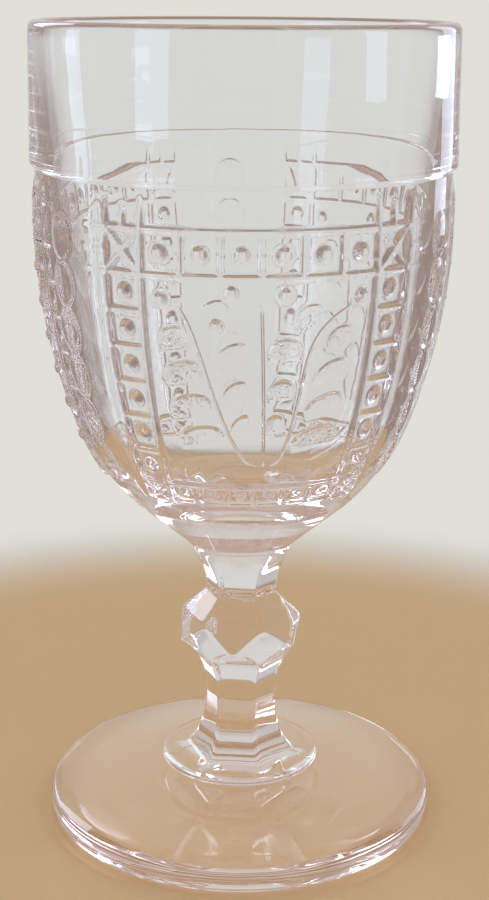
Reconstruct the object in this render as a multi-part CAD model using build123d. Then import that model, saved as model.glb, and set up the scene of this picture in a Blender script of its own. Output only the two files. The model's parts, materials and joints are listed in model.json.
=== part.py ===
# Pressed glass water goblet: bowl with a plain drinking band, hexagonal stem, faceted knop and round foot.
# Millimetres, +Z up. The origin is the centre of the ring on which the foot stands.
# The front panel of the bowl faces -Y.
import os
from math import asin, atan2, cos, degrees, hypot, radians, sin, sqrt

from build123d import *

# Foot
foot_radius = 38.0
foot_edge_height = 4.4
foot_edge_round = 1.5
foot_height = 9.8
foot_hollow_radius = 31.5
foot_hollow_depth = 3.0

# Lower stem, with the flare that spreads on the foot
flare_radius = 15.3
flare_height = 11.2
flare_edge = 0.8
stem_flat_to_flat = 12.5
stem_corner_radius = 7.2
lower_stem_length = 18.2
stem_turn = -12.0

# Knop
knop_height = 16.5
knop_ring_radius = 12.7
knop_shoulder = 5.3
knop_slope_height = 8.2
knop_slope_reach = 4.9

# Upper stem
upper_stem_length = 11.3
neck_flat_to_flat = 12.0
collar_flat_to_flat = 24.3

# Bowl
bowl_height = 96.2
collar_radius = 10.9
cone_lean = 49.3
rim_radius = 38.2
rim_wall = 3.4
band_height = 24.8
band_radius = 38.6
band_step = 0.9
belly_height = 62.2
belly_bulge = 112.0
belly_drop = 39.0
panel_wall = 3.7
cavity_bulge = 100.0
cavity_drop = 36.0

# Pressed pattern: panels framed by small squares, with a chain of ovals between panels
panel_count = 3
panel_cells = 8
cell_angle = 10.4
frame_drop = 7.2
row_height = 7.4
column_squares = 6
square_height = 6.35
sill_height = 3.9
bar_width = 1.6
bar_height = 0.55
stroke_width = 1.0
stroke_height = 0.35
bead_radius = 1.5
bead_height = 0.8
spike_length = 5.0
side_spike_length = 2.8
spike_height = 0.4
spike_tip = 0.15
chain_ovals = 6
oval_width = 6.0
oval_length = 8.0
oval_height = 0.9
oval_gap = 0.25

# Levels from the foot up
stem_base = foot_height
knop_base = stem_base + lower_stem_length
neck_base = knop_base + knop_height
bowl_base = neck_base + upper_stem_length
rim_top = bowl_base + bowl_height
band_base = rim_top - band_height
belly_level = bowl_base + belly_height
panel_radius = band_radius - band_step
cavity_radius = panel_radius - panel_wall
frame_top = band_base - frame_drop
row_base = frame_top - row_height
column_base = row_base - column_squares * square_height
sill_level = column_base - sill_height
panel_half_angle = panel_cells * cell_angle / 2
panel_pitch = 360 / panel_count

hexagon_sides = 6
half_side_angle = 180 / hexagon_sides


def turned_solid(*edges):
    """Solid of revolution about Z from a closed half outline in the XZ plane."""
    outline = Wire(list(edges))
    return revolve(Plane.XZ * make_face(outline.edges()), Axis.Z)


def facet_slab(*right_side):
    """Slab between two mirrored copies of a side profile, long enough to pass right through the stem."""
    right = Wire(list(right_side))
    left = right.mirror(Plane.YZ)
    low = Line(left @ 0, right @ 0)
    high = Line(left @ 1, right @ 1)
    face = make_face([*right.edges(), *left.edges(), low, high])
    reach = 2 * foot_radius
    return extrude(Plane.XZ * face, reach, both=True)


def six_sided(body, slab):
    """Body cut to six facets by three slabs, one for each pair of opposite sides."""
    for pair in range(hexagon_sides // 2):
        body = body & Rot(0, 0, stem_turn + 90 + pair * 2 * half_side_angle) * slab
    return body


def polygon_corners(radius, level, turn):
    """Corners of a level hexagon, the first at the given angle from -Y."""
    angles = [radians(turn - 90 + side * 2 * half_side_angle) for side in range(hexagon_sides)]
    return [Vector(radius * cos(angle), radius * sin(angle), level) for angle in angles]


def make_foot():
    """Shallow cone with a rounded edge, dished underneath so that it stands on a ring."""
    edge_top = foot_radius - foot_edge_round
    rest_outer = foot_radius - foot_edge_round
    side_low = (foot_radius, foot_edge_round)
    side_high = (foot_radius, foot_edge_height - foot_edge_round)
    return turned_solid(
        TangentArc((0, foot_hollow_depth), (foot_hollow_radius, 0), tangent=(1, 0)),
        Line((foot_hollow_radius, 0), (rest_outer, 0)),
        TangentArc((rest_outer, 0), side_low, tangent=(1, 0)),
        Line(side_low, side_high),
        TangentArc(side_high, (edge_top, foot_edge_height), tangent=(0, 1)),
        Line((edge_top, foot_edge_height), (flare_radius, foot_height)),
        Line((flare_radius, foot_height), (0, foot_height)),
        Line((0, foot_height), (0, foot_hollow_depth)),
    )


def make_lower_stem():
    """Hexagonal stem that flares into a round ring on the foot."""
    flat = stem_flat_to_flat / 2
    flare_top = stem_base + flare_height
    ring_top = (flare_radius, stem_base + flare_edge)
    envelope = turned_solid(
        Line((0, stem_base), (flare_radius, stem_base)),
        Line((flare_radius, stem_base), ring_top),
        TangentArc((stem_corner_radius, flare_top), ring_top, tangent=(0, -1)),
        Line((stem_corner_radius, flare_top), (stem_corner_radius, knop_base)),
        Line((stem_corner_radius, knop_base), (0, knop_base)),
        Line((0, knop_base), (0, stem_base)),
    )
    slab = facet_slab(
        TangentArc((flat, flare_top), (flat + flare_height, stem_base), tangent=(0, -1)),
        Line((flat, flare_top), (flat, knop_base)),
    )
    return six_sided(envelope, slab)


def make_knop():
    """Faceted knop: triangles from the neck to a six-cornered ring, then hollow facets down to the stem."""
    neck_corner = neck_flat_to_flat / 2 / cos(radians(half_side_angle))
    ring_level = neck_base - knop_shoulder
    neck = polygon_corners(neck_corner, neck_base, stem_turn - half_side_angle)
    ring = polygon_corners(knop_ring_radius, ring_level, stem_turn)
    base = polygon_corners(knop_ring_radius, knop_base, stem_turn)
    faces = [Face(Wire.make_polygon(neck)), Face(Wire.make_polygon(base))]
    for side in range(hexagon_sides):
        following = (side + 1) % hexagon_sides
        faces.append(Face(Wire.make_polygon([neck[side], neck[following], ring[side]])))
        faces.append(Face(Wire.make_polygon([ring[side], ring[following], neck[following]])))
        faces.append(Face(Wire.make_polygon([ring[side], ring[following], base[following], base[side]])))
    body = Solid(Shell(faces))
    flat = stem_flat_to_flat / 2
    slope_top = (flat + knop_slope_reach, knop_base + knop_slope_height)
    slab = facet_slab(
        TangentArc((flat, knop_base), slope_top, tangent=(0, 1)),
        Line(slope_top, (slope_top[0], neck_base)),
    )
    return six_sided(body, slab)


def make_upper_stem():
    """Short hexagonal neck that spreads into a round collar, where its facets run out in arches."""
    neck_side = (neck_flat_to_flat / 2, neck_base)
    collar_side = (collar_flat_to_flat / 2, bowl_base)
    envelope = turned_solid(
        Line((0, neck_base), (stem_corner_radius, neck_base)),
        TangentArc((stem_corner_radius, neck_base), (collar_radius, bowl_base), tangent=(0, 1)),
        Line((collar_radius, bowl_base), (0, bowl_base)),
        Line((0, bowl_base), (0, neck_base)),
    )
    slab = facet_slab(TangentArc(neck_side, collar_side, tangent=(0, 1)))
    return six_sided(envelope, slab)


def wall_normal(lean):
    """Unit normal, towards the axis, of a wall that leans in by an angle in degrees."""
    return Vector(-cos(radians(lean)), sin(radians(lean)))


def bulging_side(radius, level, drop, bulge_radius):
    """Wide arc that starts upright and leans in as it falls."""
    sag = bulge_radius - sqrt(bulge_radius ** 2 - drop ** 2)
    return TangentArc((radius, level), (radius - sag, level - drop), tangent=(0, -1))


# Outside of the bowl: a bulging side, a tangent turn, and a straight cone down to the collar.
# The turn has the radius at which the cone ends on the collar.
side_lean = degrees(asin(belly_drop / belly_bulge))
side_inset = belly_bulge * (1 - cos(radians(side_lean)))
side_end = Vector(panel_radius - side_inset, belly_level - belly_drop)
collar_point = Vector(collar_radius, bowl_base)
cone_gap = (side_end - collar_point).dot(wall_normal(cone_lean))
turn_radius = cone_gap / (1 - cos(radians(cone_lean - side_lean)))
turn_centre = side_end + wall_normal(side_lean) * turn_radius


def outer_side(proud):
    """Outside of the bowl from the belly to the collar, moved out by the given height."""
    reach = turn_radius + proud
    turn_start = turn_centre - wall_normal(side_lean) * reach
    turn_end = turn_centre - wall_normal(cone_lean) * reach
    side = TangentArc((panel_radius + proud, belly_level), turn_start, tangent=(0, -1))
    turn = TangentArc(turn_start, turn_end, tangent=side % 1)
    cone = Line(turn_end, collar_point - wall_normal(cone_lean) * proud)
    return side, turn, cone


def wall_place(level):
    """Radius of the bowl's outside at a level, and the angle by which the wall leans in there."""
    if level >= belly_level:
        return panel_radius, 0
    fall = belly_level - level
    if fall <= belly_drop:
        inset = belly_bulge - sqrt(belly_bulge ** 2 - fall ** 2)
        return panel_radius - inset, degrees(asin(fall / belly_bulge))
    below = turn_centre.Y - level
    return turn_centre.X + sqrt(turn_radius ** 2 - below ** 2), degrees(asin(below / turn_radius))


def on_wall(angle, level):
    """Place on the bowl's outside: X runs round the bowl, Y up the wall and Z out of it."""
    radius, lean = wall_place(level)
    return Rot(0, 0, angle) * Pos(0, -radius, level) * Rot(90 + lean, 0, 0)


def upright_bar(angle, low, high):
    """Cutter for a bar of constant angle between two levels."""
    length = band_radius
    box = Box(bar_width, length, high - low, align=(Align.CENTER, Align.MAX, Align.MIN))
    return Rot(0, 0, angle) * Pos(0, -collar_radius, low) * box


def level_bar(level, first, last):
    """Cutter for a level bar between two angles."""
    radius = band_radius + bar_width
    middle = (Align.NONE, Align.NONE, Align.CENTER)
    sector = Cylinder(radius, bar_width, arc_size=last - first, align=middle)
    return Rot(0, 0, first - 90) * Pos(0, 0, level) * sector


def bar_cutters():
    """Cutters for the bars of one panel: frame, uprights of the top row and rungs of the sides."""
    edge = panel_half_angle
    inner = edge - cell_angle
    cutters = [level_bar(level, -edge, edge) for level in (frame_top, row_base, column_base, sill_level)]
    for angle in (-edge, -inner, inner, edge):
        cutters.append(upright_bar(angle, sill_level, frame_top))
    for cell in range(1, panel_cells - 2):
        cutters.append(upright_bar(cell * cell_angle - inner, row_base, frame_top))
    for square in range(1, column_squares):
        level = row_base - square * square_height
        cutters.append(level_bar(level, -edge, -inner))
        cutters.append(level_bar(level, inner, edge))
    return cutters


def bead():
    """Ball that stands out of the wall as a low dome."""
    ball_radius = (bead_radius ** 2 + bead_height ** 2) / (2 * bead_height)
    return Pos(0, 0, bead_height - ball_radius) * Rot(90, 0, 0) * Sphere(ball_radius)


def bead_places():
    """Middles of the squares of one panel's top row and sides."""
    outer_cell = panel_half_angle - cell_angle / 2
    places = []
    for cell in range(1, panel_cells - 1):
        places.append((cell * cell_angle - outer_cell, frame_top - row_height / 2))
    for square in range(column_squares):
        level = row_base - (square + 1 / 2) * square_height
        places.append((-outer_cell, level))
        places.append((outer_cell, level))
    return places


def crossed_strokes():
    """Two strokes from corner to corner of a top square."""
    cell_width = radians(cell_angle) * panel_radius
    slant = degrees(atan2(row_height, cell_width))
    stroke = Box(hypot(cell_width, row_height), stroke_width, 2 * stroke_height)
    return [Rot(0, 0, turn) * stroke for turn in (slant, -slant)]


def spike(length):
    """Rib that lies half in the wall and narrows to a point."""
    left = (bar_width - spike_tip) / 2
    low = spike_height - spike_tip / 2
    tip = (left, low, left + spike_tip, low + spike_tip)
    seat = (Align.CENTER, Align.MIN, Align.CENTER)
    return Wedge(bar_width, length, 2 * spike_height, *tip, align=seat)


def corner_details(side):
    """Crossed square at one top corner of a panel, with its upright and sideways spikes."""
    edge = side * panel_half_angle
    inner = side * (panel_half_angle - cell_angle)
    middle = (edge + inner) / 2
    details = [on_wall(middle, frame_top - row_height / 2) * stroke for stroke in crossed_strokes()]
    for angle in (edge, middle, inner):
        details.append(on_wall(angle, frame_top) * spike(spike_length))
    for level in (frame_top, frame_top - row_height / 2, row_base):
        details.append(on_wall(edge, level) * Rot(0, 0, -side * 90) * spike(side_spike_length))
    return details


def chain_oval():
    """Spindle that stands out of the wall as an oval and ends inside the glass."""
    barrel = ((oval_width / 2) ** 2 + oval_height ** 2) / (2 * oval_height)
    arch = ((oval_length / 2) ** 2 + oval_height ** 2) / (2 * oval_height)
    half = oval_length / 2 + oval_height
    neck = barrel - arch + sqrt(arch ** 2 - half ** 2)
    outline = Wire([
        ThreePointArc((neck, -half), (barrel, 0), (neck, half)),
        Line((neck, half), (0, half)),
        Line((0, half), (0, -half)),
        Line((0, -half), (neck, -half)),
    ])
    return Pos(0, 0, oval_height - barrel) * revolve(make_face(outline.edges()), Axis.Y)


def chain_places():
    """Middles of the ovals between two panels, one under the other along the wall."""
    level = frame_top - oval_length / 2
    places = []
    for oval in range(chain_ovals):
        places.append((panel_pitch / 2, level))
        level -= (oval_length + oval_gap) * cos(radians(wall_place(level)[1]))
    return places


def panel_relief():
    """Raised pattern of one panel and of the chain beside it."""
    proud = turned_solid(
        Line((0, frame_top + bar_width), (panel_radius + bar_height, frame_top + bar_width)),
        Line((panel_radius + bar_height, frame_top + bar_width), (panel_radius + bar_height, belly_level)),
        *outer_side(bar_height),
        Line(collar_point - wall_normal(cone_lean) * bar_height, (0, bowl_base)),
        Line((0, bowl_base), (0, frame_top + bar_width)),
    )
    first, *others = bar_cutters()
    relief = [proud & first.fuse(*others)]
    relief += [on_wall(*place) * bead() for place in bead_places()]
    relief += [on_wall(*place) * chain_oval() for place in chain_places()]
    return relief + corner_details(-1) + corner_details(1)


def make_bowl():
    """Egg-shaped bowl: plain band above a step, pressed panels, rounded lip and thick bottom."""
    lip_level = rim_top - rim_wall / 2
    lip_middle = (rim_radius - rim_wall / 2, rim_top)
    lip_outer = (rim_radius, lip_level)
    lip_inner = (rim_radius - rim_wall, lip_level)
    step_base = band_base - band_step
    body = turned_solid(
        Line((0, bowl_base), collar_point),
        *outer_side(0),
        Line((panel_radius, belly_level), (panel_radius, step_base)),
        Line((panel_radius, step_base), (band_radius, band_base)),
        Line((band_radius, band_base), lip_outer),
        ThreePointArc(lip_outer, lip_middle, lip_inner),
        Line(lip_inner, (0, lip_level)),
        Line((0, lip_level), (0, bowl_base)),
    )
    inside = bulging_side(cavity_radius, belly_level, cavity_drop, cavity_bulge)
    lean = degrees(asin(cavity_drop / cavity_bulge))
    start = inside @ 1
    bottom_radius = start.X / cos(radians(lean))
    bottom_level = start.Y + bottom_radius * sin(radians(lean)) - bottom_radius
    cavity = turned_solid(
        Line((0, rim_top), (lip_inner[0], rim_top)),
        Line((lip_inner[0], rim_top), lip_inner),
        Line(lip_inner, (cavity_radius, belly_level)),
        inside,
        TangentArc(start, (0, bottom_level), tangent=inside % 1),
        Line((0, bottom_level), (0, rim_top)),
    )
    pattern = panel_relief()
    for panel in range(panel_count):
        body = body.fuse(*[Rot(0, 0, panel * panel_pitch) * piece for piece in pattern])
    return body - cavity


nodes = {
    "foot": make_foot(),
    "lower_stem": make_lower_stem(),
    "knop": make_knop(),
    "upper_stem": make_upper_stem(),
    "bowl": make_bowl(),
}

os.makedirs("parts", exist_ok=True)
for name, solid in nodes.items():
    export_step(solid, f"parts/{name}.step")
    print(name, round(solid.volume, 1))
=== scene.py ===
import json
import math

import bpy
import numpy as np
from mathutils import Matrix, Vector

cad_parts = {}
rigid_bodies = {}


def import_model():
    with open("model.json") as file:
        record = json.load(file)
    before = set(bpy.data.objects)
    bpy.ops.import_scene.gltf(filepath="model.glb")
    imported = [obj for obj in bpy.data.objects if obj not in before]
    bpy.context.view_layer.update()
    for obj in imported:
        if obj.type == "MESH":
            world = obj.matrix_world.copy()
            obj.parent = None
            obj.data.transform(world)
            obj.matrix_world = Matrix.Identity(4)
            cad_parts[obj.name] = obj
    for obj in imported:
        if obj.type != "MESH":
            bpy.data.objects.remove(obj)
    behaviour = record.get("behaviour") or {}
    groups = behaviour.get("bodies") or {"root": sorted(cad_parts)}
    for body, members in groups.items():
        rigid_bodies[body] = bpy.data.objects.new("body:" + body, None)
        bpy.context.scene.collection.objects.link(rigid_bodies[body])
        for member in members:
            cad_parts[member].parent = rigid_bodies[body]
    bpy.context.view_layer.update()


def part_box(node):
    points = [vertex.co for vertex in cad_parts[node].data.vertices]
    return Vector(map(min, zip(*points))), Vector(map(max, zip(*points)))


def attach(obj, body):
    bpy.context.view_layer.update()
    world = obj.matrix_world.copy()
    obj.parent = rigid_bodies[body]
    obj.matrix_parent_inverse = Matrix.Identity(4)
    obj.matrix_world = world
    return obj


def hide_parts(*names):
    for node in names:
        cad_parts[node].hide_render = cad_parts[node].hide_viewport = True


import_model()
mm = 0.001  # shapes are worked out in millimetres and put into the mesh in metres
fullTurn = 2 * math.pi

# angles are in degrees round the goblet's axis, from the middle of the front panel, towards +X


def nodeLevels(name):  # lowest and highest level of a CAD node, in millimetres
    low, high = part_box(name)
    return low.z / mm, high.z / mm


def nodeRadius(name):  # widest reach of a CAD node from the axis, in millimetres
    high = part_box(name)[1]
    return max(high.x, high.y) / mm


def lengthAlong(path):  # length from the start of a polyline to each of its points
    return np.r_[0, np.cumsum(np.hypot(*np.diff(path, axis=0).T))]


def placesOn(path, lengths):  # points of a polyline at given lengths from its start
    along = lengthAlong(path)
    return np.column_stack([np.interp(lengths, along, path[:, axis]) for axis in range(2)])


def evenPath(points, count):  # a polyline resampled at even steps of its own length
    path = np.asarray(points, float)
    return placesOn(path, np.linspace(0, lengthAlong(path)[-1], count))


def arcPath(centre, radius, first, last, count):  # arc of a circle between two angles in degrees
    turn = np.radians(np.linspace(first, last, count))
    return np.column_stack([centre[0] + radius * np.cos(turn), centre[1] + radius * np.sin(turn)])


def softMin(stack, sharpness):  # smallest of several radii, with the edges between them rounded off
    return np.sum(stack ** -sharpness, axis=0) ** (-1 / sharpness)


def softMax(stack, sharpness):  # largest of several radii, rounded off the same way
    return softMin(stack, -sharpness)


def smoothRise(share):  # from 0 to 1 with level ends: three squares less two cubes
    return share * share * (3 - 2 * share)


footShape = {
    "edgeHeight": 4.4, "edgeRound": 1.5, "edgeTurn": 72,  # degrees of the upper round
    "hollowRadius": 31.5, "hollowDepth": 3.0,
    "poleShare": 0.04,  # the first ring's share of the hollow's radius; a fan of triangles closes it
    "flareGap": 0.3,  # the cone stops this far outside the flare
    "rows": {"dish": 9, "ring": 4, "edge": 6, "cone": 12},
}


def footPath():  # dished underside as a parabola, flat ring, rounded edge, then a straight cone
    rows = footShape["rows"]
    top = nodeLevels("foot")[1]
    hollow = np.linspace(footShape["poleShare"], 1, rows["dish"]) * footShape["hollowRadius"]
    depth = footShape["hollowDepth"] * (1 - (hollow / footShape["hollowRadius"]) ** 2)
    dish = np.column_stack([hollow, depth])
    edge = footShape["edgeRound"]
    side = nodeRadius("foot") - edge
    ring = evenPath([dish[-1], (side, 0)], rows["ring"])
    low = arcPath((side, edge), edge, -90, 0, rows["edge"])
    high = arcPath((side, footShape["edgeHeight"] - edge), edge, 0, footShape["edgeTurn"], rows["edge"])
    cone = evenPath([high[-1], (stemShape["flareRadius"] + footShape["flareGap"], top)], rows["cone"])
    return np.vstack([dish, ring[1:], low[1:], high, cone[1:]])


stemShape = {
    "turn": -12.0,  # the hexagon stands a little turned against the panels
    "flat": 6.25, "corner": 7.2,
    "flareRadius": 15.3, "flareHeight": 11.2, "flareEdge": 0.8,
    "hollowReach": 4.9, "ledgeSlope": 5.0, "ledgeOver": 0.4,  # the sides sweep out to a ledge
    "slopeHeight": 7.6, "slopeReach": 6.2, "slopeTail": 3.5,
    "ringRadius": 12.7, "upperRadius": 11.9, "shoulder": 4.3,
    "neckFlat": 6.0, "collarFlat": 12.15, "collarRadius": 10.9,
    "polish": 44, "edgePolish": 34,  # higher is a sharper edge between facets
    "rows": {"flare": 36, "shaft": 8, "neck": 24},
    "flareCrowding": 1.8,  # higher puts more of the flare's rows low down
    "knopRows": (20, 14, 14, 18),  # up the slope, round the ring, up the band and over the shoulder
    "ringZone": (1.5, 0.3),  # how far the ring's close rows reach below and above it
}
facetLimits = {
    "sideFacing": 0.15, "planeFacing": 0.05,  # least cosine at which a facet is still met
    "nearest": 0.5, "farthest": 90.0,  # radii between which a facet counts
    "openSlope": 60.0, "ledgeNearest": 1.0,  # radii of a slope past its end and of the ledge inside
    "leastRoot": 0.01,  # keeps the flare's arc real below its edge
}
halfSide = 30  # degrees from the middle of one of the six sides to its corner
sideAngles = 2 * halfSide * np.arange(6)
sideTurns = np.radians(stemShape["turn"] + sideAngles)


def hollowArc(start, reach, height, level):  # arc, upright at level 0, that widens by reach over height
    bend = (reach ** 2 + height ** 2) / (2 * reach)
    return start + bend - np.sqrt(np.maximum(bend ** 2 - np.clip(level, 0, height) ** 2, 0))


def sixSides(reach, turns):  # radius of each flat side seen along each angle: reach over the cosine
    facing = np.cos(turns[None, None, :] - sideTurns[:, None, None])
    return reach[None, :, None] / np.maximum(facing, facetLimits["sideFacing"])


def planeRadii(corners, levels, turns):  # radius at which the plane through three corners is met
    normal = np.cross(corners[1] - corners[0], corners[2] - corners[0])
    normal = normal * np.sign(normal @ corners[0] - normal[2] * corners[0][2])  # away from the axis
    facing = normal[0] * np.sin(turns)[None, :] - normal[1] * np.cos(turns)[None, :]
    height = (normal @ corners[0] - normal[2] * levels)[:, None]
    least = facetLimits["planeFacing"] * np.linalg.norm(normal)
    return np.where(facing > least, height / np.maximum(facing, least), facetLimits["farthest"])


def hexagonCorners(radius, level, turn):  # corners of a level hexagon
    at = np.radians(turn + sideAngles)
    return np.column_stack([radius * np.sin(at), -radius * np.cos(at), np.full(len(at), level)])


def facetSection(flats, turned, turns):  # six flat sides inside a turned form, with polished edges
    around = np.repeat(turned[None, :, None], len(turns), axis=2)
    return softMin(np.concatenate([sixSides(flats, turns), around]), stemShape["polish"])


def knopSlope(levels):  # reach of the hollow facets that widen in an arc from the stem to the knop
    start = nodeLevels("knop")[0] - stemShape["slopeTail"]
    height = stemShape["slopeHeight"] + stemShape["slopeTail"]
    return hollowArc(stemShape["flat"], stemShape["slopeReach"], height, levels - start)


def lowerStem(levels, turns):  # six sides that sweep out to a ledge, inside a turned flare
    stem = stemShape
    base = nodeLevels("lower_stem")[0]
    drop = np.maximum(base + stem["flareHeight"] - levels, 0)
    height = stem["flareHeight"] - stem["flareEdge"]
    sweep = stem["flat"] + stem["hollowReach"] * (1 - np.sqrt(np.maximum(1 - (drop / height) ** 2, 0)))
    ledgeRise = math.tan(math.radians(stem["ledgeSlope"]))
    ledge = stem["flareRadius"] + stem["ledgeOver"] - (levels - base - stem["flareEdge"]) / ledgeRise
    ledge = np.maximum(ledge, facetLimits["ledgeNearest"])
    flats = np.maximum(softMax(np.array([sweep, ledge]), stem["edgePolish"]), knopSlope(levels))
    spread = stem["flareRadius"] - stem["corner"]
    bend = (spread ** 2 + height ** 2) / (2 * spread)
    hollow = stem["corner"] + bend - np.sqrt(np.maximum(bend ** 2 - drop ** 2, facetLimits["leastRoot"]))
    edge = np.full_like(hollow, stem["flareRadius"])
    turned = softMin(np.array([hollow, edge]), stem["edgePolish"])
    turned = np.maximum(turned, knopSlope(levels) * stem["corner"] / stem["flat"])
    return facetSection(flats, turned, turns)


def knop(levels, turns):  # sloping shoulder, upright band of triangles, then hollow facets
    stem = stemShape
    base, top = nodeLevels("knop")
    bandLow = base + stem["slopeHeight"]
    neckCorner = stem["neckFlat"] / math.cos(math.radians(halfSide))
    neck = hexagonCorners(neckCorner, top, stem["turn"] - halfSide)
    upper = hexagonCorners(stem["upperRadius"], top - stem["shoulder"], stem["turn"] - halfSide)
    lower = hexagonCorners(stem["ringRadius"], bandLow, stem["turn"])
    facets = []
    for side in range(len(sideAngles)):
        after = (side + 1) % len(sideAngles)
        shoulder = (neck[side], neck[after], upper[side])
        apexDown = (upper[side], upper[after], lower[side])
        apexUp = (lower[side], lower[after], upper[after])
        for corners in (shoulder, apexDown, apexUp):
            facets.append(planeRadii(np.array(corners), levels, turns))
    facets = np.clip(np.array(facets), facetLimits["nearest"], facetLimits["farthest"])
    hollow = sixSides(np.where(levels > bandLow, facetLimits["openSlope"], knopSlope(levels)), turns)
    return softMin(np.concatenate([facets, hollow]), stem["polish"])


def upperStem(levels, turns):  # hexagon that widens in an arc to the bowl, inside a turned collar
    stem = stemShape
    base, top = nodeLevels("upper_stem")
    up = levels - base
    height = top - base
    flats = hollowArc(stem["neckFlat"], stem["collarFlat"] - stem["neckFlat"], height, up)
    turned = hollowArc(stem["corner"], stem["collarRadius"] - stem["corner"], height, up)
    return facetSection(flats, turned, turns)


bowlShape = {
    "rimRadius": 38.2, "rimWall": 2.6,
    "bandHeight": 24.8, "bandRadius": 38.6, "bandStep": 0.9, "stepDrop": 0.3, "stepRound": 0.35,
    "bellyLevel": 118.0, "bellyBulge": 112.0, "bellyDrop": 39.0, "coneLean": 49.3,
    "collarEase": 0.8,  # length over which the collar rounds into the bowl
    "cavityBulge": 284.0, "cavityDrop": 65.4,
    "floorRadius": 14.2, "floorRound": 0.6, "floorLean": 100, "floorDome": 0.4,
    "poleShare": 0.03,  # the last ring's share of the floor's radius; a fan of triangles closes it
    "rows": {"basin": 26, "step": 4, "band": 9, "lip": 15, "wall": 52, "floorTurn": 6, "floor": 8},
    "profilePoints": {"side": 150, "turn": 90, "cone": 90, "cavity": 120},  # before resampling
}


def bulgingSide(radius, level, drop, bulge, count):  # arc that starts upright and leans in as it falls
    fall = np.linspace(0, drop, count)
    return np.column_stack([radius - bulge + np.sqrt(bulge ** 2 - fall ** 2), level - fall])


def leaning(angle):  # unit normal, towards the axis, of a wall that leans in by an angle in radians
    return np.array([-math.cos(angle), math.sin(angle)])


def turnTo(start, lean, endLean, radius, count):  # tangent arc from a wall's lean to a steeper one
    centre = start + radius * leaning(lean)
    return arcPath(centre, radius, -math.degrees(lean), -math.degrees(endLean), count)


bowlBase, rimTop = nodeLevels("bowl")
bandBase = rimTop - bowlShape["bandHeight"]
panelRadius = bowlShape["bandRadius"] - bowlShape["bandStep"]


def outerPath():  # from below: collar, straight cone, tangent turn and bulging side up to the band
    bowl = bowlShape
    points = bowl["profilePoints"]
    collar = np.array([stemShape["collarRadius"], bowlBase])
    belly = (panelRadius, bowl["bellyLevel"])
    side = bulgingSide(*belly, bowl["bellyDrop"], bowl["bellyBulge"], points["side"])
    lean = math.asin(bowl["bellyDrop"] / bowl["bellyBulge"])
    coneLean = math.radians(bowl["coneLean"])
    # the radius of the turn is the one whose end lines up with the collar
    gap = (collar - side[-1]) @ leaning(coneLean)
    turn = turnTo(side[-1], lean, coneLean, gap / (math.cos(coneLean - lean) - 1), points["turn"])
    cone = evenPath([turn[-1], collar], points["cone"])
    underBand = [(panelRadius, bandBase - bowl["stepDrop"])]
    return np.vstack([cone[::-1], turn[-2:0:-1], side[::-1], underBand])


def bandAndInsidePath():  # step, band, half-round lip, inside wall as a wide arc, round turn, domed floor
    bowl = bowlShape
    rows = bowl["rows"]
    points = bowl["profilePoints"]
    lip = bowl["rimWall"] / 2
    lipLevel = rimTop - lip
    stepRound = bowl["stepRound"]
    stepCentre = (bowl["bandRadius"] - stepRound, bandBase + stepRound)
    step = arcPath(stepCentre, stepRound, -45, 0, rows["step"])
    band = evenPath([step[-1], (bowl["rimRadius"], lipLevel)], rows["band"])
    lipArc = arcPath((bowl["rimRadius"] - lip, lipLevel), lip, 0, 180, rows["lip"])
    side = bulgingSide(*lipArc[-1], bowl["cavityDrop"], bowl["cavityBulge"], points["cavity"])
    lean = math.asin(bowl["cavityDrop"] / bowl["cavityBulge"])
    bottomRadius = side[-1, 0] / math.cos(lean)  # the round bottom has its centre on the axis
    bottomLean = math.acos(bowl["floorRadius"] / bottomRadius)
    bottom = turnTo(side[-1], lean, bottomLean, bottomRadius, points["cavity"])
    wall = evenPath(np.vstack([side, bottom[1:]]), rows["wall"])
    floorLean = math.radians(bowl["floorLean"])
    floorTurn = turnTo(wall[-1], bottomLean, floorLean, bowl["floorRound"], rows["floorTurn"])
    out = np.linspace(1, bowl["poleShare"], rows["floor"])
    rise = bowl["floorDome"] * (1 - out ** 2)  # the floor is a parabola that rises to the axis
    dome = np.column_stack([floorTurn[-1, 0] * out, floorTurn[-1, 1] + rise])
    return np.vstack([step, band[1:], lipArc[1:], wall[1:], floorTurn[1:], dome[1:]])


panelCount = 3
panelPitch = 360 / panelCount
chainMiddle = panelPitch / 2  # a chain of ovals stands midway between two panels

panelPattern = {
    "cell": 10.4, "cells": 8,  # angle of one square and squares across a panel
    "rows": (120.0, 112.6), "columnFoot": 74.5, "columnSquares": 6, "sill": 70.6,
    "barHalf": 0.8, "barHeight": 0.55, "crest": 0.2,
    "levelBar": 0.9, "columnBar": (0.85, 0.9), "rowBar": (0.85, 0.8),  # shares of width and height
    "beadRadius": 1.55, "beadHeight": 0.95, "beadFullness": 0.75, "smallBead": 0.7,
    "strokeHalf": 0.75, "strokeHeight": 0.58, "strokeTip": 0.05, "strokeFade": 1.3,
    "spikeUp": 5.0, "spikeOut": 2.8, "sideSpike": 0.8, "spikeTaper": (1.0, 0.1),
}


def bump(distance, half, height):  # ridge with straight flanks and a rounded crest, nothing past half
    crest = panelPattern["crest"]
    return height * np.clip(1 - np.sqrt((distance / half) ** 2 + crest ** 2), 0, None) / (1 - crest)


class WallMap:  # places on one third of the outer wall: angle, level, radius and length along the profile
    def __init__(self, angles, path):
        self.angles = angles
        self.radius = path[:, 0]
        self.level = path[:, 1]
        self.along = lengthAlong(path)

    def length(self, level):
        return np.interp(level, self.level, self.along)

    def offsets(self, angle, level):  # millimetres across and up from a place on the wall
        across = np.radians(self.angles - angle)[None, :] * self.radius[:, None]
        up = np.repeat((self.along - self.length(level))[:, None], len(self.angles), axis=1)
        return across, up


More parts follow.
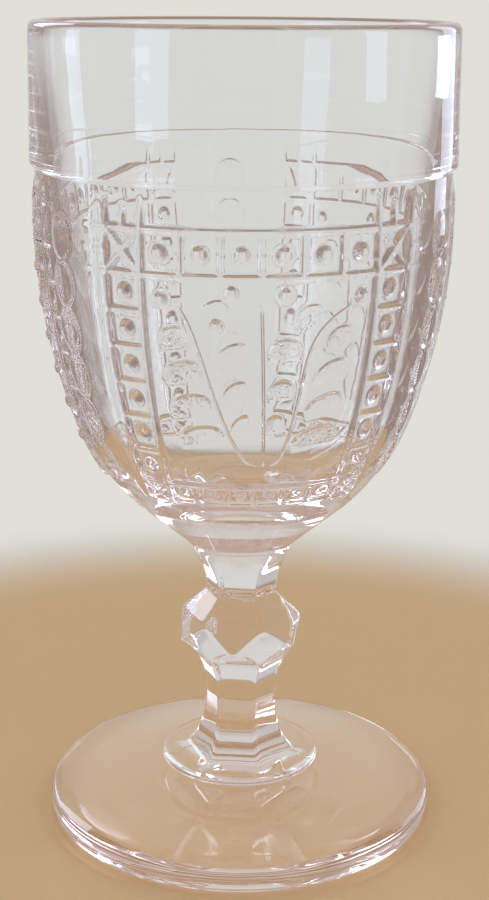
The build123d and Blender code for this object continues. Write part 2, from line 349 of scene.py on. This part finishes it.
def stroke(wall, start, end, half, height, taper=(1.0, 1.0)):  # straight ridge, tapered from end to end
    across, up = wall.offsets(*start)
    middleRadius = np.interp((start[1] + end[1]) / 2, wall.level, wall.radius)
    farAcross = math.radians(end[0] - start[0]) * middleRadius
    farUp = wall.length(end[1]) - wall.length(start[1])
    share = np.clip((across * farAcross + up * farUp) / (farAcross ** 2 + farUp ** 2), 0, 1)
    distance = np.hypot(across - share * farAcross, up - share * farUp)
    width = taper[0] + (taper[1] - taper[0]) * share
    ridge = bump(distance, np.maximum(half * width, panelPattern["strokeTip"]), 1.0)
    return ridge * height * np.minimum(1, width * panelPattern["strokeFade"])


def meridian(wall, angle, low, high, half, height):  # upright bar of constant angle, with round ends
    across, up = wall.offsets(angle, low)
    over = np.maximum(np.maximum(-up, up - (wall.length(high) - wall.length(low))), 0)
    return bump(np.hypot(across, over), half, height)


def ringBar(wall, level, first, last, half, height):  # level bar between two angles, with round ends
    across, up = wall.offsets((first + last) / 2, level)
    reach = np.radians((last - first) / 2) * wall.radius[:, None]
    over = np.maximum(np.abs(across) - reach, 0)
    return bump(np.hypot(up, over), half, height)


def bead(wall, angle, level, radius, height):  # round dome: one less the squared distance, to a power
    across, up = wall.offsets(angle, level)
    inside = np.clip(1 - (across ** 2 + up ** 2) / radius ** 2, 0, None)
    return height * inside ** panelPattern["beadFullness"]


def columnRelief(wall, side, edge, inner):  # one side of the frame: squares, crossed blocks and spikes
    panel = panelPattern
    half, height = panel["barHalf"], panel["barHeight"]
    top, second = panel["rows"]
    middle = (edge + inner) / 2
    squares = np.linspace(second, panel["columnFoot"], panel["columnSquares"] + 1)
    barWidth, barRise = panel["columnBar"]
    parts = [meridian(wall, side * angle, panel["sill"], top, half, height) for angle in (edge, inner)]
    for level in squares[1:-1]:
        ends = sorted((side * edge, side * inner))
        parts.append(ringBar(wall, level, *ends, half * barWidth, height * barRise))
    for level in (squares[1:] + squares[:-1]) / 2:
        parts.append(bead(wall, side * middle, level, panel["beadRadius"], panel["beadHeight"]))
    for high, low in (panel["rows"], (panel["columnFoot"], panel["sill"])):
        for start, end in ((edge, inner), (inner, edge)):
            ends = ((side * start, high), (side * end, low))
            parts.append(stroke(wall, *ends, panel["strokeHalf"], panel["strokeHeight"]))
    for angle in (edge, middle, inner):
        ends = ((side * angle, top), (side * angle, top + panel["spikeUp"]))
        parts.append(stroke(wall, *ends, half, height, panel["spikeTaper"]))
    tipAngle = side * (edge + math.degrees(panel["spikeOut"] / panelRadius))
    for level in (top, (top + second) / 2, second):
        ends = ((side * edge, level), (tipAngle, level))
        parts.append(stroke(wall, *ends, half * panel["sideSpike"], height, panel["spikeTaper"]))
    return np.max(parts, axis=0)


def frameRelief(wall):  # both columns, the level bars, and the bars and beads of the top and bottom rows
    panel = panelPattern
    half, height = panel["barHalf"], panel["barHeight"]
    top, second = panel["rows"]
    edge = panel["cell"] * panel["cells"] / 2
    inner = edge - panel["cell"]
    barWidth, barRise = panel["rowBar"]
    cells = np.arange(panel["cells"] - 2)  # squares of a row between its corner blocks
    parts = [columnRelief(wall, side, edge, inner) for side in (-1, 1)]
    for level in (top, second, panel["columnFoot"], panel["sill"]):
        parts.append(ringBar(wall, level, -edge, edge, half * panel["levelBar"], height))
    for angle in (cells[1:] - np.mean(cells[1:])) * panel["cell"]:
        for low, high in ((second, top), (panel["sill"], panel["columnFoot"])):
            parts.append(meridian(wall, angle, low, high, half * barWidth, height * barRise))
    topBeads = ((top + second) / 2, 1.0)
    footBeads = ((panel["columnFoot"] + panel["sill"]) / 2, panel["smallBead"])
    for angle in (cells - np.mean(cells)) * panel["cell"]:
        for level, size in (topBeads, footBeads):
            parts.append(bead(wall, angle, level, panel["beadRadius"] * size, panel["beadHeight"] * size))
    return np.max(parts, axis=0)


fernPattern = {
    "base": 79.0, "tip": 107.5, "footEase": 0.6, "tipEase": 2.0, "tipOver": 1.0,
    "stemHalf": 0.36, "stemHeight": 0.22, "spreadPower": 0.5, "hookPower": 8,
    "stems": {  # degrees of spread, of the hook at the tip, and of the shift at the foot
        "stem_left": (-18.8, -2.5, 0.0), "stem_middle": (0.0, 0.0, 2.0), "stem_right": (13.0, 11.0, 4.3)},
    "leafHeight": 0.34, "leafEdge": 0.75, "leafFade": 5.0, "leafRise": 2.1,
    "stippleHeight": 0.06, "stipplePitch": 0.9, "stippleReach": 0.6,
    "leaves": (  # angle, level of the top, half-angle, and how many millimetres higher the right end is
        (-16.8, 86.8, 7.0, 0.7), (-19.4, 92.6, 6.3, 0.7), (-21.2, 98.5, 5.6, 0.7), (-23.4, 104.4, 4.2, 0.4),
        (-5.4, 88.8, 3.2, 1.3), (-6.8, 95.0, 4.0, 1.2), (-7.6, 101.8, 4.6, 1.1), (-12.0, 109.2, 4.6, 0.7),
        (17.5, 86.4, 7.4, 1.0), (19.0, 92.4, 6.0, 1.1), (19.8, 98.4, 5.6, 1.2), (21.8, 104.4, 4.4, 0.5),
        (4.6, 89.0, 3.0, 0.2), (5.8, 95.2, 4.0, 0.2), (6.4, 102.6, 4.8, 0.2), (13.0, 108.4, 4.6, 0.3)),
    "dots": ((-26.0, 108.7), (-7.6, 110.2), (-11.6, 104.6), (5.8, 109.8), (27.0, 108.9)),
    "dotRadius": 1.3, "dotHeight": 0.7,
    "farAway": 5.0,  # millimetres; what the fields hold away from the fern
}


def leafFields(wall, middle, top, half, lean):  # millimetres inside a leaf's arched edge, and its fading
    fern = fernPattern
    across, up = wall.offsets(middle, top - fern["leafRise"])
    reach = math.radians(half) * np.interp(top, wall.level, wall.radius)
    up = up - lean * across / reach
    shape = np.hypot(across / reach, np.maximum(up, 0) / fern["leafRise"])
    inside = (1 - shape) * np.where(up > 0, fern["leafRise"], reach)
    fade = np.clip((fern["leafRise"] - up) / fern["leafFade"], 0, 1)
    inside = np.minimum(inside, up + fern["leafFade"] - fern["leafRise"])
    return inside, 0.5 + 0.5 * np.cos(math.pi * fade)


def stemField(wall, spread, hook, shift):  # signed millimetres from a stem that spreads, then hooks out
    fern = fernPattern
    share = np.clip((wall.level - fern["base"]) / (fern["tip"] - fern["base"]), 0, 1)
    bow = spread * share ** fern["spreadPower"] + hook * share ** fern["hookPower"] + shift * (1 - share)
    across = np.radians(wall.angles[None, :] - bow[:, None]) * wall.radius[:, None]
    # a leaning line is nearer than it looks across
    slant = np.gradient(np.radians(bow) * wall.radius, wall.along)
    return np.clip(across / np.hypot(1, slant)[:, None], -fern["farAway"], fern["farAway"])


def fernFields(wall):  # stems that fan from one foot and crescent leaves, as fields for the carving
    fern = fernPattern
    leaves = [leafFields(wall, *leaf) for leaf in fern["leaves"]]
    inside = np.array([leaf[0] for leaf in leaves])
    fade = np.array([leaf[1] for leaf in leaves])
    nearest = np.argmax(inside, axis=0)[None]
    leafInside = np.take_along_axis(inside, nearest, 0)[0]
    reach = panelPattern["cell"] * (panelPattern["cells"] / 2 - 1)
    within = np.clip(reach - np.abs(wall.angles), 0, 1)[None, :]
    above = np.clip((wall.level - fern["base"]) / fern["footEase"], 0, 1)[:, None]
    below = np.clip((fern["tip"] + fern["tipOver"] - wall.level) / fern["tipEase"], 0, 1)[:, None]
    return {
        "fern_zone": within * above * below,
        "leaf_inside": np.clip(leafInside, -fern["farAway"], fern["farAway"]),
        "leaf_fade": np.take_along_axis(fade, nearest, 0)[0],
        **{name: stemField(wall, *stem) for name, stem in fern["stems"].items()},
    }


def fernRelief(wall, fields):  # half of the leaves' height as a low swelling, and dots at the tips
    fern = fernPattern
    edge = smoothRise(np.clip(fields["leaf_inside"] / fern["leafEdge"] / 2, 0, 1))
    parts = [fern["leafHeight"] / 2 * edge * fields["leaf_fade"]]
    parts += [bead(wall, *dot, fern["dotRadius"], fern["dotHeight"]) for dot in fern["dots"]]
    return np.max(parts, axis=0)


chainPattern = {"halfAngle": 5.3, "ovals": 6, "top": 121.0, "bottom": 71.5, "height": 0.5, "edge": 0.24}


def chainRelief(wall):  # chain of raised ovals between the panels: half a steep edge, half a low dome
    chain = chainPattern
    ends = np.linspace(chain["top"], chain["bottom"], chain["ovals"] + 1)
    wide = math.radians(chain["halfAngle"]) * wall.radius[:, None]
    parts = []
    for side in (-1, 1):
        for high, low in zip(ends[:-1], ends[1:]):
            across, up = wall.offsets(side * chainMiddle, (high + low) / 2)
            tall = (wall.length(high) - wall.length(low)) / 2
            inside = np.clip(1 - (across / wide) ** 2 - (up / tall) ** 2, 0, None)
            edge = smoothRise(np.minimum(inside / chain["edge"], 1))
            parts.append(chain["height"] / 2 * (edge + inside))
    return np.max(parts, axis=0)


meshPlan = {
    "plainColumns": 108, "cellColumns": 16, "besideColumns": 4, "chainColumns": 27, "chainMargin": 0.8,
    "rowStep": 0.56, "patternLow": 67.5,
    "flankSteps": (0.45, 0.9, 1.3),  # rows and columns beside a bar's crest, as shares of half its width
}


def wallColumns():  # angles of one third of the wall: close on the flanks of the bars and on the chain
    panel = panelPattern
    half = panel["cell"] * panel["cells"] / 2
    flank = np.array(meshPlan["flankSteps"]) * panel["barHalf"] / panelRadius
    flank = np.degrees(flank) / panel["cell"]
    between = np.linspace(flank[-1], 1 - flank[-1], meshPlan["cellColumns"] - 2 * len(flank) + 2)[1:-1]
    cell = np.concatenate([[0], flank, between, 1 - flank[::-1]])
    framed = (np.arange(panel["cells"])[:, None] + cell[None, :]).ravel() * panel["cell"] - half
    chainFrom = chainMiddle - chainPattern["halfAngle"] - meshPlan["chainMargin"]
    beside = np.linspace(half, chainFrom, meshPlan["besideColumns"] + 1)
    chain = np.linspace(chainFrom, panelPitch - chainFrom, meshPlan["chainColumns"])
    return np.concatenate([framed, beside[:-1], chain, (panelPitch - beside[1:-1])[::-1]])


def wallSteps(low, high, path):  # lengths along the wall: close on the flanks of the level bars
    panel = panelPattern
    squares = np.linspace(panel["columnFoot"], panel["rows"][1], panel["columnSquares"] + 1)
    levels = np.r_[panel["sill"], squares, panel["rows"][0]]
    flank = np.array(meshPlan["flankSteps"]) * panel["barHalf"]
    crests = np.interp(levels, path[:, 1], lengthAlong(path))
    bars = (crests[:, None] + np.r_[-flank[::-1], 0, flank][None, :]).ravel()
    marks = np.r_[low, bars, high]
    counts = np.maximum(np.ceil(np.diff(marks) / meshPlan["rowStep"]), 1).astype(int)
    spans = zip(marks[:-1], marks[1:], counts + 1)
    runs = [np.linspace(start, end, count)[:-1] for start, end, count in spans]
    return np.r_[np.concatenate(runs), high]


def ringPoints(radius, level, turns):  # rows of points from radii, levels and the angles of the columns
    radius, level = np.broadcast_arrays(radius, level)
    return np.stack([radius * np.sin(turns), -radius * np.cos(turns), level], axis=2)


def roundRows(path, turns):  # the same radius at every angle
    return ringPoints(path[:, :1] + 0 * turns[None, :], path[:, 1:] + 0 * turns[None, :], turns[None, :])


def facetRows(shape, levels, turns):  # radius from a stem function
    return ringPoints(shape(levels, turns), levels[:, None] + 0 * turns[None, :], turns[None, :])


def patternRows(path, thirdAngles):  # wall with its relief, pushed out along the profile's normal
    wall = WallMap((thirdAngles + chainMiddle) % panelPitch - chainMiddle, path)
    fields = fernFields(wall)
    height = np.maximum(np.maximum(frameRelief(wall), fernRelief(wall, fields)), chainRelief(wall))
    height = np.tile(height, panelCount)
    slope = np.gradient(path, axis=0)
    slope = slope / np.linalg.norm(slope, axis=1)[:, None]
    radius = path[:, :1] + height * slope[:, 1:]
    level = path[:, 1:] - height * slope[:, :1]
    angles = np.concatenate([thirdAngles + panelPitch * third for third in range(panelCount)])
    turns = np.radians(angles) % fullTurn
    order = np.argsort(turns)
    turns = turns[order]
    fields = {name: np.tile(field, panelCount)[:, order] for name, field in fields.items()}
    return ringPoints(radius[:, order], level[:, order], turns[None, :]), turns, fields


def gridFaces(first, rows, columns):  # quads of a closed band of rows
    row = np.arange(rows - 1)[:, None] * columns
    here = np.arange(columns)[None, :]
    after = (here + 1) % columns
    quads = np.stack([row + here, row + after, row + columns + after, row + columns + here], axis=2)
    return first + quads.reshape(-1, 4)


def zipFaces(firstLow, turnsLow, firstHigh, turnsHigh):  # triangles between two rings, in order of angle
    slack = 1e-7  # radians; angles closer than this count as the same
    nextLow = np.r_[turnsLow[1:], fullTurn]
    nextHigh = np.r_[turnsHigh[1:], fullTurn]
    apexHigh = np.searchsorted(turnsHigh, nextLow - slack) - 1
    apexLow = np.searchsorted(turnsLow, nextHigh + slack) - 1
    apexLow = np.where(nextHigh + slack >= fullTurn, 0, apexLow)  # the last column closes on the first
    hereLow = np.arange(len(turnsLow))
    hereHigh = np.arange(len(turnsHigh))
    afterLow = (hereLow + 1) % len(turnsLow)
    afterHigh = (hereHigh + 1) % len(turnsHigh)
    lower = np.column_stack([firstLow + hereLow, firstLow + afterLow, firstHigh + apexHigh])
    upper = np.column_stack([firstLow + apexLow, firstHigh + afterHigh, firstHigh + hereHigh])
    return np.vstack([lower, upper])


def stemGrids(turns):  # lower stem, knop and upper stem, with rows closer where the form turns fast
    stem = stemShape
    rows = stem["rows"]
    stemLow, stemHigh = nodeLevels("lower_stem")
    knopLow, knopHigh = nodeLevels("knop")
    share = np.linspace(0, 1, rows["flare"])
    flare = stemLow + stem["flareHeight"] * np.sin(share * math.pi / 2) ** stem["flareCrowding"]
    shaft = np.linspace(flare[-1], stemHigh, rows["shaft"])[1:]
    ring = knopLow + stem["slopeHeight"]
    under, over = stem["ringZone"]
    marks = (knopLow, ring - under, ring + over, knopHigh - stem["shoulder"], knopHigh)
    runs = [np.linspace(*span)[1:] for span in zip(marks[:-1], marks[1:], stem["knopRows"])]
    neck = np.linspace(knopHigh, bowlBase, rows["neck"])[1:]
    lower = facetRows(lowerStem, np.concatenate([flare, shaft]), turns)
    middle = facetRows(knop, np.concatenate(runs), turns)
    upper = facetRows(upperStem, neck, turns)
    return lower, middle, upper


def buildGoblet():  # every section is a band of rings, joined ring to ring; the two poles are closed
    plain = np.radians(np.arange(meshPlan["plainColumns"]) * 360 / meshPlan["plainColumns"])
    outer = outerPath()
    along = lengthAlong(outer)
    low = np.interp(meshPlan["patternLow"], outer[:, 1], along)
    basin = placesOn(outer, np.linspace(bowlShape["collarEase"], low, bowlShape["rows"]["basin"])[:-1])
    wallPath = placesOn(outer, wallSteps(low, along[-1], outer))
    patternGrid, fine, fields = patternRows(wallPath, wallColumns())
    inside = roundRows(bandAndInsidePath(), plain)
    belowWall = [roundRows(footPath(), plain), *stemGrids(plain), roundRows(basin, plain)]
    bands = [(grid, plain) for grid in belowWall]
    bands += [(patternGrid, fine), (inside, plain)]
    points, quads, triangles = [], [], []
    first = 0
    lastRing = None
    for grid, turns in bands:
        rows, columns = grid.shape[:2]
        if grid is patternGrid:
            carved = slice(first, first + rows * columns)
        points.append(grid.reshape(-1, 3))
        quads.append(gridFaces(first, rows, columns))
        if lastRing is not None:
            triangles.append(zipFaces(*lastRing, first, turns))
        lastRing = (first + (rows - 1) * columns, turns)
        first += rows * columns
    points = np.vstack(points)
    here = np.arange(len(plain))
    after = (here + 1) % len(plain)
    footPole = np.full(len(plain), len(points))
    triangles.append(np.column_stack([after, here, footPole]))
    triangles.append(np.column_stack([lastRing[0] + here, lastRing[0] + after, footPole + 1]))
    points = np.vstack([points, [(0, 0, footShape["hollowDepth"]), (0, 0, points[-1, 2])]])
    carving = {name: np.zeros(len(points)) for name in fields}
    for name, field in fields.items():
        carving[name][carved] = field.ravel()
    return points, np.vstack(quads), np.vstack(triangles), carving


def meshPiece(name, points, quads, triangles):  # mesh from whole arrays, smooth shaded
    mesh = bpy.data.meshes.new(name)
    mesh.vertices.add(len(points))
    mesh.vertices.foreach_set("co", (points * mm).astype(np.float32).ravel())
    corners = np.concatenate([quads.ravel(), triangles.ravel()]).astype(np.int32)
    starts = np.concatenate([np.arange(len(quads)) * 4, len(quads) * 4 + np.arange(len(triangles)) * 3])
    mesh.loops.add(len(corners))
    mesh.loops.foreach_set("vertex_index", corners)
    mesh.polygons.add(len(starts))
    mesh.polygons.foreach_set("loop_start", starts.astype(np.int32))
    mesh.polygons.foreach_set("use_smooth", np.ones(len(starts), bool))
    mesh.update(calc_edges=True)
    mesh.validate()
    piece = bpy.data.objects.new(name, mesh)
    bpy.context.scene.collection.objects.link(piece)
    return piece


points, quads, triangles, carving = buildGoblet()
goblet = meshPiece("goblet_glass", points, quads, triangles)
for fieldName, field in carving.items():
    attribute = goblet.data.attributes.new(fieldName, "FLOAT", "POINT")
    attribute.data.foreach_set("value", field.astype(np.float32))
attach(goblet, "root")
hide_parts("bowl", "upper_stem", "knop", "lower_stem", "foot")
print("glass body:", len(points), "points,", 2 * len(quads) + len(triangles), "triangles")


def linear(hexColour):  # sRGB hex to linear RGBA, by the standard sRGB curve
    parts = [int(hexColour[start:start + 2], 16) / 255 for start in (1, 3, 5)]
    curve = [part / 12.92 if part <= 0.04045 else ((part + 0.055) / 1.055) ** 2.4 for part in parts]
    return (*curve, 1.0)


def addNode(tree, kind, settings=(), links=()):  # adds a node, sets its inputs or properties, links sockets
    node = tree.nodes.new(kind)
    for key, value in dict(settings).items():
        if key in node.inputs:
            node.inputs[key].default_value = value
        else:
            setattr(node, key, value)
    for key, source in dict(links).items():  # inputs by name or number; a node stands for its first output
        socket = source.outputs[0] if isinstance(source, bpy.types.Node) else source
        tree.links.new(socket, node.inputs[key])
    return node


# pressed soda-lime glass, fire-polished: clear, with a faint pink-lavender cast that shows only where it
# is thick, and the slow waviness that the mould leaves in the surface
glassFinish = {
    "ior": 1.52, "roughness": 0.012, "tint": "#EAD3CC", "density": 9.0,
    "waveSize": 5.0, "waveDepth": 0.04, "waveStrength": 0.35, "waveDetail": 1.0,  # sizes in millimetres
}


def fernCarving(tree, place):  # height in millimetres of the fern's fine lines, from the mesh's fields
    fern = fernPattern
    fields = {}
    for name in ("leaf_inside", "leaf_fade", "fern_zone", *fern["stems"]):
        fields[name] = addNode(tree, "ShaderNodeAttribute", {"attribute_name": name}).outputs["Fac"]
    leaf = addNode(tree, "ShaderNodeMapRange", {
        "interpolation_type": "SMOOTHSTEP", "From Max": fern["leafEdge"]}, {"Value": fields["leaf_inside"]})
    leaf = addNode(tree, "ShaderNodeMath", {"operation": "MULTIPLY"}, {0: leaf, 1: fields["leaf_fade"]})
    grainScale = 1 / (fern["stipplePitch"] * mm)
    grain = addNode(tree, "ShaderNodeTexVoronoi", {"Scale": grainScale}, {"Vector": place})
    swell = fern["leafHeight"] / 2
    stipple = addNode(tree, "ShaderNodeMapRange", {
        "interpolation_type": "SMOOTHSTEP", "From Max": fern["stippleReach"],
        "To Min": swell + fern["stippleHeight"], "To Max": swell}, {"Value": grain.outputs["Distance"]})
    total = addNode(tree, "ShaderNodeMath", {"operation": "MULTIPLY"}, {0: leaf, 1: stipple})
    for name in fern["stems"]:
        away = addNode(tree, "ShaderNodeMath", {"operation": "ABSOLUTE"}, {0: fields[name]})
        line = addNode(tree, "ShaderNodeMapRange", {
            "interpolation_type": "SMOOTHSTEP", "From Max": fern["stemHalf"],
            "To Min": fern["stemHeight"], "To Max": 0.0}, {"Value": away})
        line = addNode(tree, "ShaderNodeMath", {"operation": "MULTIPLY"}, {0: line, 1: fields["fern_zone"]})
        total = addNode(tree, "ShaderNodeMath", {"operation": "MAXIMUM"}, {0: total, 1: line})
    return total


def pressedGlass():  # a clear body, tinted inside; its surface ripples, and the carving stands on the ripple
    finish = glassFinish
    material = bpy.data.materials.new("pressed_soda_lime_glass")
    material.use_nodes = True
    tree = material.node_tree
    tree.nodes.clear()
    place = addNode(tree, "ShaderNodeTexCoord").outputs["Object"]
    wave = addNode(tree, "ShaderNodeTexNoise", {
        "Scale": 1 / (finish["waveSize"] * mm), "Detail": finish["waveDetail"]}, {"Vector": place})
    ripple = addNode(tree, "ShaderNodeBump", {
        "Strength": finish["waveStrength"], "Distance": finish["waveDepth"] * mm},
        {"Height": wave.outputs["Fac"]})
    carved = addNode(tree, "ShaderNodeBump", {"Strength": 1.0, "Distance": mm},
                     {"Height": fernCarving(tree, place), "Normal": ripple})
    shader = addNode(tree, "ShaderNodeBsdfPrincipled", {
        "Base Color": (1, 1, 1, 1), "IOR": finish["ior"], "Roughness": finish["roughness"],
        "Transmission Weight": 1.0}, {"Normal": carved})
    tinted = addNode(tree, "ShaderNodeVolumeAbsorption", {
        "Color": linear(finish["tint"]), "Density": finish["density"]})
    addNode(tree, "ShaderNodeOutputMaterial", (), {"Surface": shader, "Volume": tinted})
    return material


goblet.data.materials.append(pressedGlass())
print("glass finish done")


cameraPlace = {
    "turn": -4.9,  # seen a little from the left of the panel's middle
    "distance": 286.6, "height": 157.6, "pitch": 16.48, "roll": 0.43, "sideStep": 0.5,
    "focalPixels": 1565.5, "frameHeight": 900, "sensor": 36.0, "clipStart": 0.01,
}
studioFloorPaper = {  # matt paper: even and without shine; lengths in metres
    "colour": "#C6A883", "level": -0.0003, "fade": (0.11, 0.18), "margin": 1.05, "points": 96,
}
studioWalls = {
    "backdrop": "#E0DFD8", "light": 0.95,
    "backSide": "#D9DBDA", "frontSide": "#C4BEB9", "overhead": "#CFC4BC", "below": "#8E7F77",
    "flag": "#97857E", "flagUpper": "#C6C3C4",
    "shares": {  # the direction, the limits on it, and what the share eases from and to between them
        "flagEdge": ("aside", (0.29, 0.44), (0, 1)), "flagEnd": ("aside", (0.80, 0.95), (1, 0)),
        "flagBack": ("back", (0.0, 0.2), (0, 1)), "flagRoof": ("up", (0.20, 0.80), (1, 0)),
        "flagTop": ("up", (-0.24, -0.08), (0, 1)), "sideTurn": ("back", (-0.5, 0.5), (0, 1)),
        "overheadTurn": ("up", (0.20, 0.80), (0, 1)), "belowTurn": ("up", (-0.50, -0.36), (1, 0))},
}
lampPanels = {  # angles from the camera's side; lengths in metres
    "left_window_panel": {"turn": -47.0, "distance": 1.0, "size": (0.34, 0.60), "level": 0.36, "power": 1.6},
    "right_window_panel": {"turn": 70.0, "distance": 1.1, "size": (0.26, 0.55), "level": 0.36, "power": 1.1},
    "edge_window_panel": {"turn": 133.0, "distance": 0.9, "size": (0.30, 0.70), "level": 0.30, "power": 1.9},
    "back_window_panel": {"turn": -138.0, "distance": 0.9, "size": (0.30, 0.50), "level": 0.52, "power": 2.2},
}
lampColour = "#D3E4FF"
lampAim = Vector((0, 0, 0.09))


def studioFloor():  # pale matt disc that fades out into the backdrop
    paper = studioFloorPaper
    turns = np.linspace(0, fullTurn, paper["points"], endpoint=False)
    radius = paper["fade"][1] * paper["margin"]
    level = np.full(len(turns), paper["level"])
    points = np.column_stack([radius * np.cos(turns), radius * np.sin(turns), level])
    mesh = bpy.data.meshes.new("studio_floor")
    mesh.from_pydata(points.tolist(), [], [list(range(len(turns)))])
    floor = bpy.data.objects.new("studio_floor", mesh)
    bpy.context.scene.collection.objects.link(floor)
    material = bpy.data.materials.new("matt_paper_floor")
    material.use_nodes = True
    tree = material.node_tree
    tree.nodes.clear()
    place = addNode(tree, "ShaderNodeTexCoord").outputs["Object"]
    reach = addNode(tree, "ShaderNodeVectorMath", {"operation": "LENGTH"}, {0: place})
    fade = addNode(tree, "ShaderNodeMapRange", {
        "interpolation_type": "SMOOTHERSTEP", "From Min": paper["fade"][0], "From Max": paper["fade"][1]},
        {"Value": reach.outputs["Value"]})
    matt = addNode(tree, "ShaderNodeBsdfDiffuse", {"Color": linear(paper["colour"])})
    clear = addNode(tree, "ShaderNodeBsdfTransparent")
    faded = addNode(tree, "ShaderNodeMixShader", (), {0: fade, 1: matt, 2: clear})
    addNode(tree, "ShaderNodeOutputMaterial", (), {"Surface": faded})
    mesh.materials.append(material)


def studioWorld():  # pale all round, greyer in front and overhead, darker below, a flag each side behind
    walls = studioWalls
    world = bpy.data.worlds.new("studio_world")
    bpy.context.scene.world = world
    world.use_nodes = True
    tree = world.node_tree
    tree.nodes.clear()
    way = addNode(tree, "ShaderNodeTexCoord").outputs["Generated"]
    split = addNode(tree, "ShaderNodeSeparateXYZ", (), {"Vector": way})
    turn = math.radians(cameraPlace["turn"])
    across = addNode(tree, "ShaderNodeVectorMath", {"operation": "DOT_PRODUCT"}, {0: way})
    across.inputs[1].default_value = (math.cos(turn), math.sin(turn), 0)
    aside = addNode(tree, "ShaderNodeMath", {"operation": "ABSOLUTE"}, {0: across.outputs["Value"]})
    directions = {"aside": aside, "back": split.outputs["Y"], "up": split.outputs["Z"]}
    shares = {}
    for name, (direction, limits, ends) in walls["shares"].items():
        shares[name] = addNode(tree, "ShaderNodeMapRange", {
            "interpolation_type": "SMOOTHSTEP", "From Min": limits[0], "From Max": limits[1],
            "To Min": ends[0], "To Max": ends[1]}, {"Value": directions[direction]})
    # the flags stand between two angles to the side, only behind, and end overhead
    flagShare = shares["flagEdge"]
    for name in ("flagEnd", "flagBack", "flagRoof"):
        flagShare = addNode(tree, "ShaderNodeMath", {"operation": "MULTIPLY"},
                            {0: flagShare, 1: shares[name]})
    flag = addNode(tree, "ShaderNodeMixRGB", {
        "Color1": linear(walls["flag"]), "Color2": linear(walls["flagUpper"])}, {"Fac": shares["flagTop"]})
    sides = addNode(tree, "ShaderNodeMixRGB", {
        "Color1": linear(walls["frontSide"]), "Color2": linear(walls["backSide"])},
        {"Fac": shares["sideTurn"]})
    roofed = addNode(tree, "ShaderNodeMixRGB", {"Color2": linear(walls["overhead"])},
                     {"Fac": shares["overheadTurn"], "Color1": sides})
    flagged = addNode(tree, "ShaderNodeMixRGB", (), {"Fac": flagShare, "Color1": roofed, "Color2": flag})
    colour = addNode(tree, "ShaderNodeMixRGB", {"Color2": linear(walls["below"])},
                     {"Fac": shares["belowTurn"], "Color1": flagged})
    # reflections and the glass meet the whole studio, matt surfaces an even white, the eye the backdrop
    seen = addNode(tree, "ShaderNodeBackground", {"Strength": 1.0}, {"Color": colour})
    even = addNode(tree, "ShaderNodeBackground", {"Color": (1, 1, 1, 1), "Strength": walls["light"]})
    plain = addNode(tree, "ShaderNodeBackground", {"Color": linear(walls["backdrop"]), "Strength": 1.0})
    ray = addNode(tree, "ShaderNodeLightPath")
    # the node's own limit, a half, tells a scattered ray from one that is not
    scattered = addNode(tree, "ShaderNodeMath", {"operation": "GREATER_THAN"},
                        {0: ray.outputs["Diffuse Depth"]})
    lit = addNode(tree, "ShaderNodeMixShader", (), {0: scattered, 1: seen, 2: even})
    whole = addNode(tree, "ShaderNodeMixShader", (), {0: ray.outputs["Is Camera Ray"], 1: lit, 2: plain})
    addNode(tree, "ShaderNodeOutputWorld", (), {"Surface": whole})


def lampPanel(name, lamp):  # soft upright rectangle that shows as a pale patch on the glass
    light = bpy.data.lights.new(name, "AREA")
    light.shape = "RECTANGLE"
    light.size, light.size_y = lamp["size"]
    light.energy = lamp["power"]
    light.color = linear(lampColour)[:3]
    holder = bpy.data.objects.new(name, light)
    turn = math.radians(lamp["turn"] + cameraPlace["turn"])
    place = Vector((lamp["distance"] * math.sin(turn), -lamp["distance"] * math.cos(turn), lamp["level"]))
    facing = (lampAim - place).to_track_quat("-Z", "Y").to_matrix().to_4x4()
    holder.matrix_world = Matrix.Translation(place) @ facing
    holder.visible_camera = False
    holder.visible_diffuse = False
    bpy.context.scene.collection.objects.link(holder)


def studioCamera():  # stands at its turn and distance from the axis, pitched down, then rolled
    data = bpy.data.cameras.new("studio_camera")
    data.sensor_width = cameraPlace["sensor"]
    data.lens = cameraPlace["focalPixels"] / cameraPlace["frameHeight"] * data.sensor_width
    data.clip_start = cameraPlace["clipStart"]
    camera = bpy.data.objects.new("studio_camera", data)
    turn = math.radians(cameraPlace["turn"])
    right = Vector((math.cos(turn), math.sin(turn), 0))
    back = Vector((math.sin(turn), -math.cos(turn), 0))
    place = (back * cameraPlace["distance"] + right * cameraPlace["sideStep"]) * mm
    place.z = cameraPlace["height"] * mm
    tilt = Matrix.Rotation(math.radians(90 - cameraPlace["pitch"]), 4, "X")
    roll = Matrix.Rotation(math.radians(cameraPlace["roll"]), 4, "Z")
    camera.matrix_world = Matrix.Translation(place) @ Matrix.Rotation(turn, 4, "Z") @ tilt @ roll
    bpy.context.scene.collection.objects.link(camera)
    bpy.context.scene.camera = camera


studioFloor()
studioWorld()
for panelName, panelLamp in lampPanels.items():
    lampPanel(panelName, panelLamp)
studioCamera()
glassBounces = 32  # light that turns many times inside the glass comes out again
clearBounces = 16
scene = bpy.context.scene
scene.view_settings.view_transform = "Standard"
scene.cycles.blur_glossy = 0.0  # light through the glass stays as bright as it is
scene.cycles.max_bounces = glassBounces
scene.cycles.glossy_bounces = glassBounces
scene.cycles.transmission_bounces = glassBounces
scene.cycles.transparent_max_bounces = clearBounces
print("studio done")

bpy.context.view_layer.update()
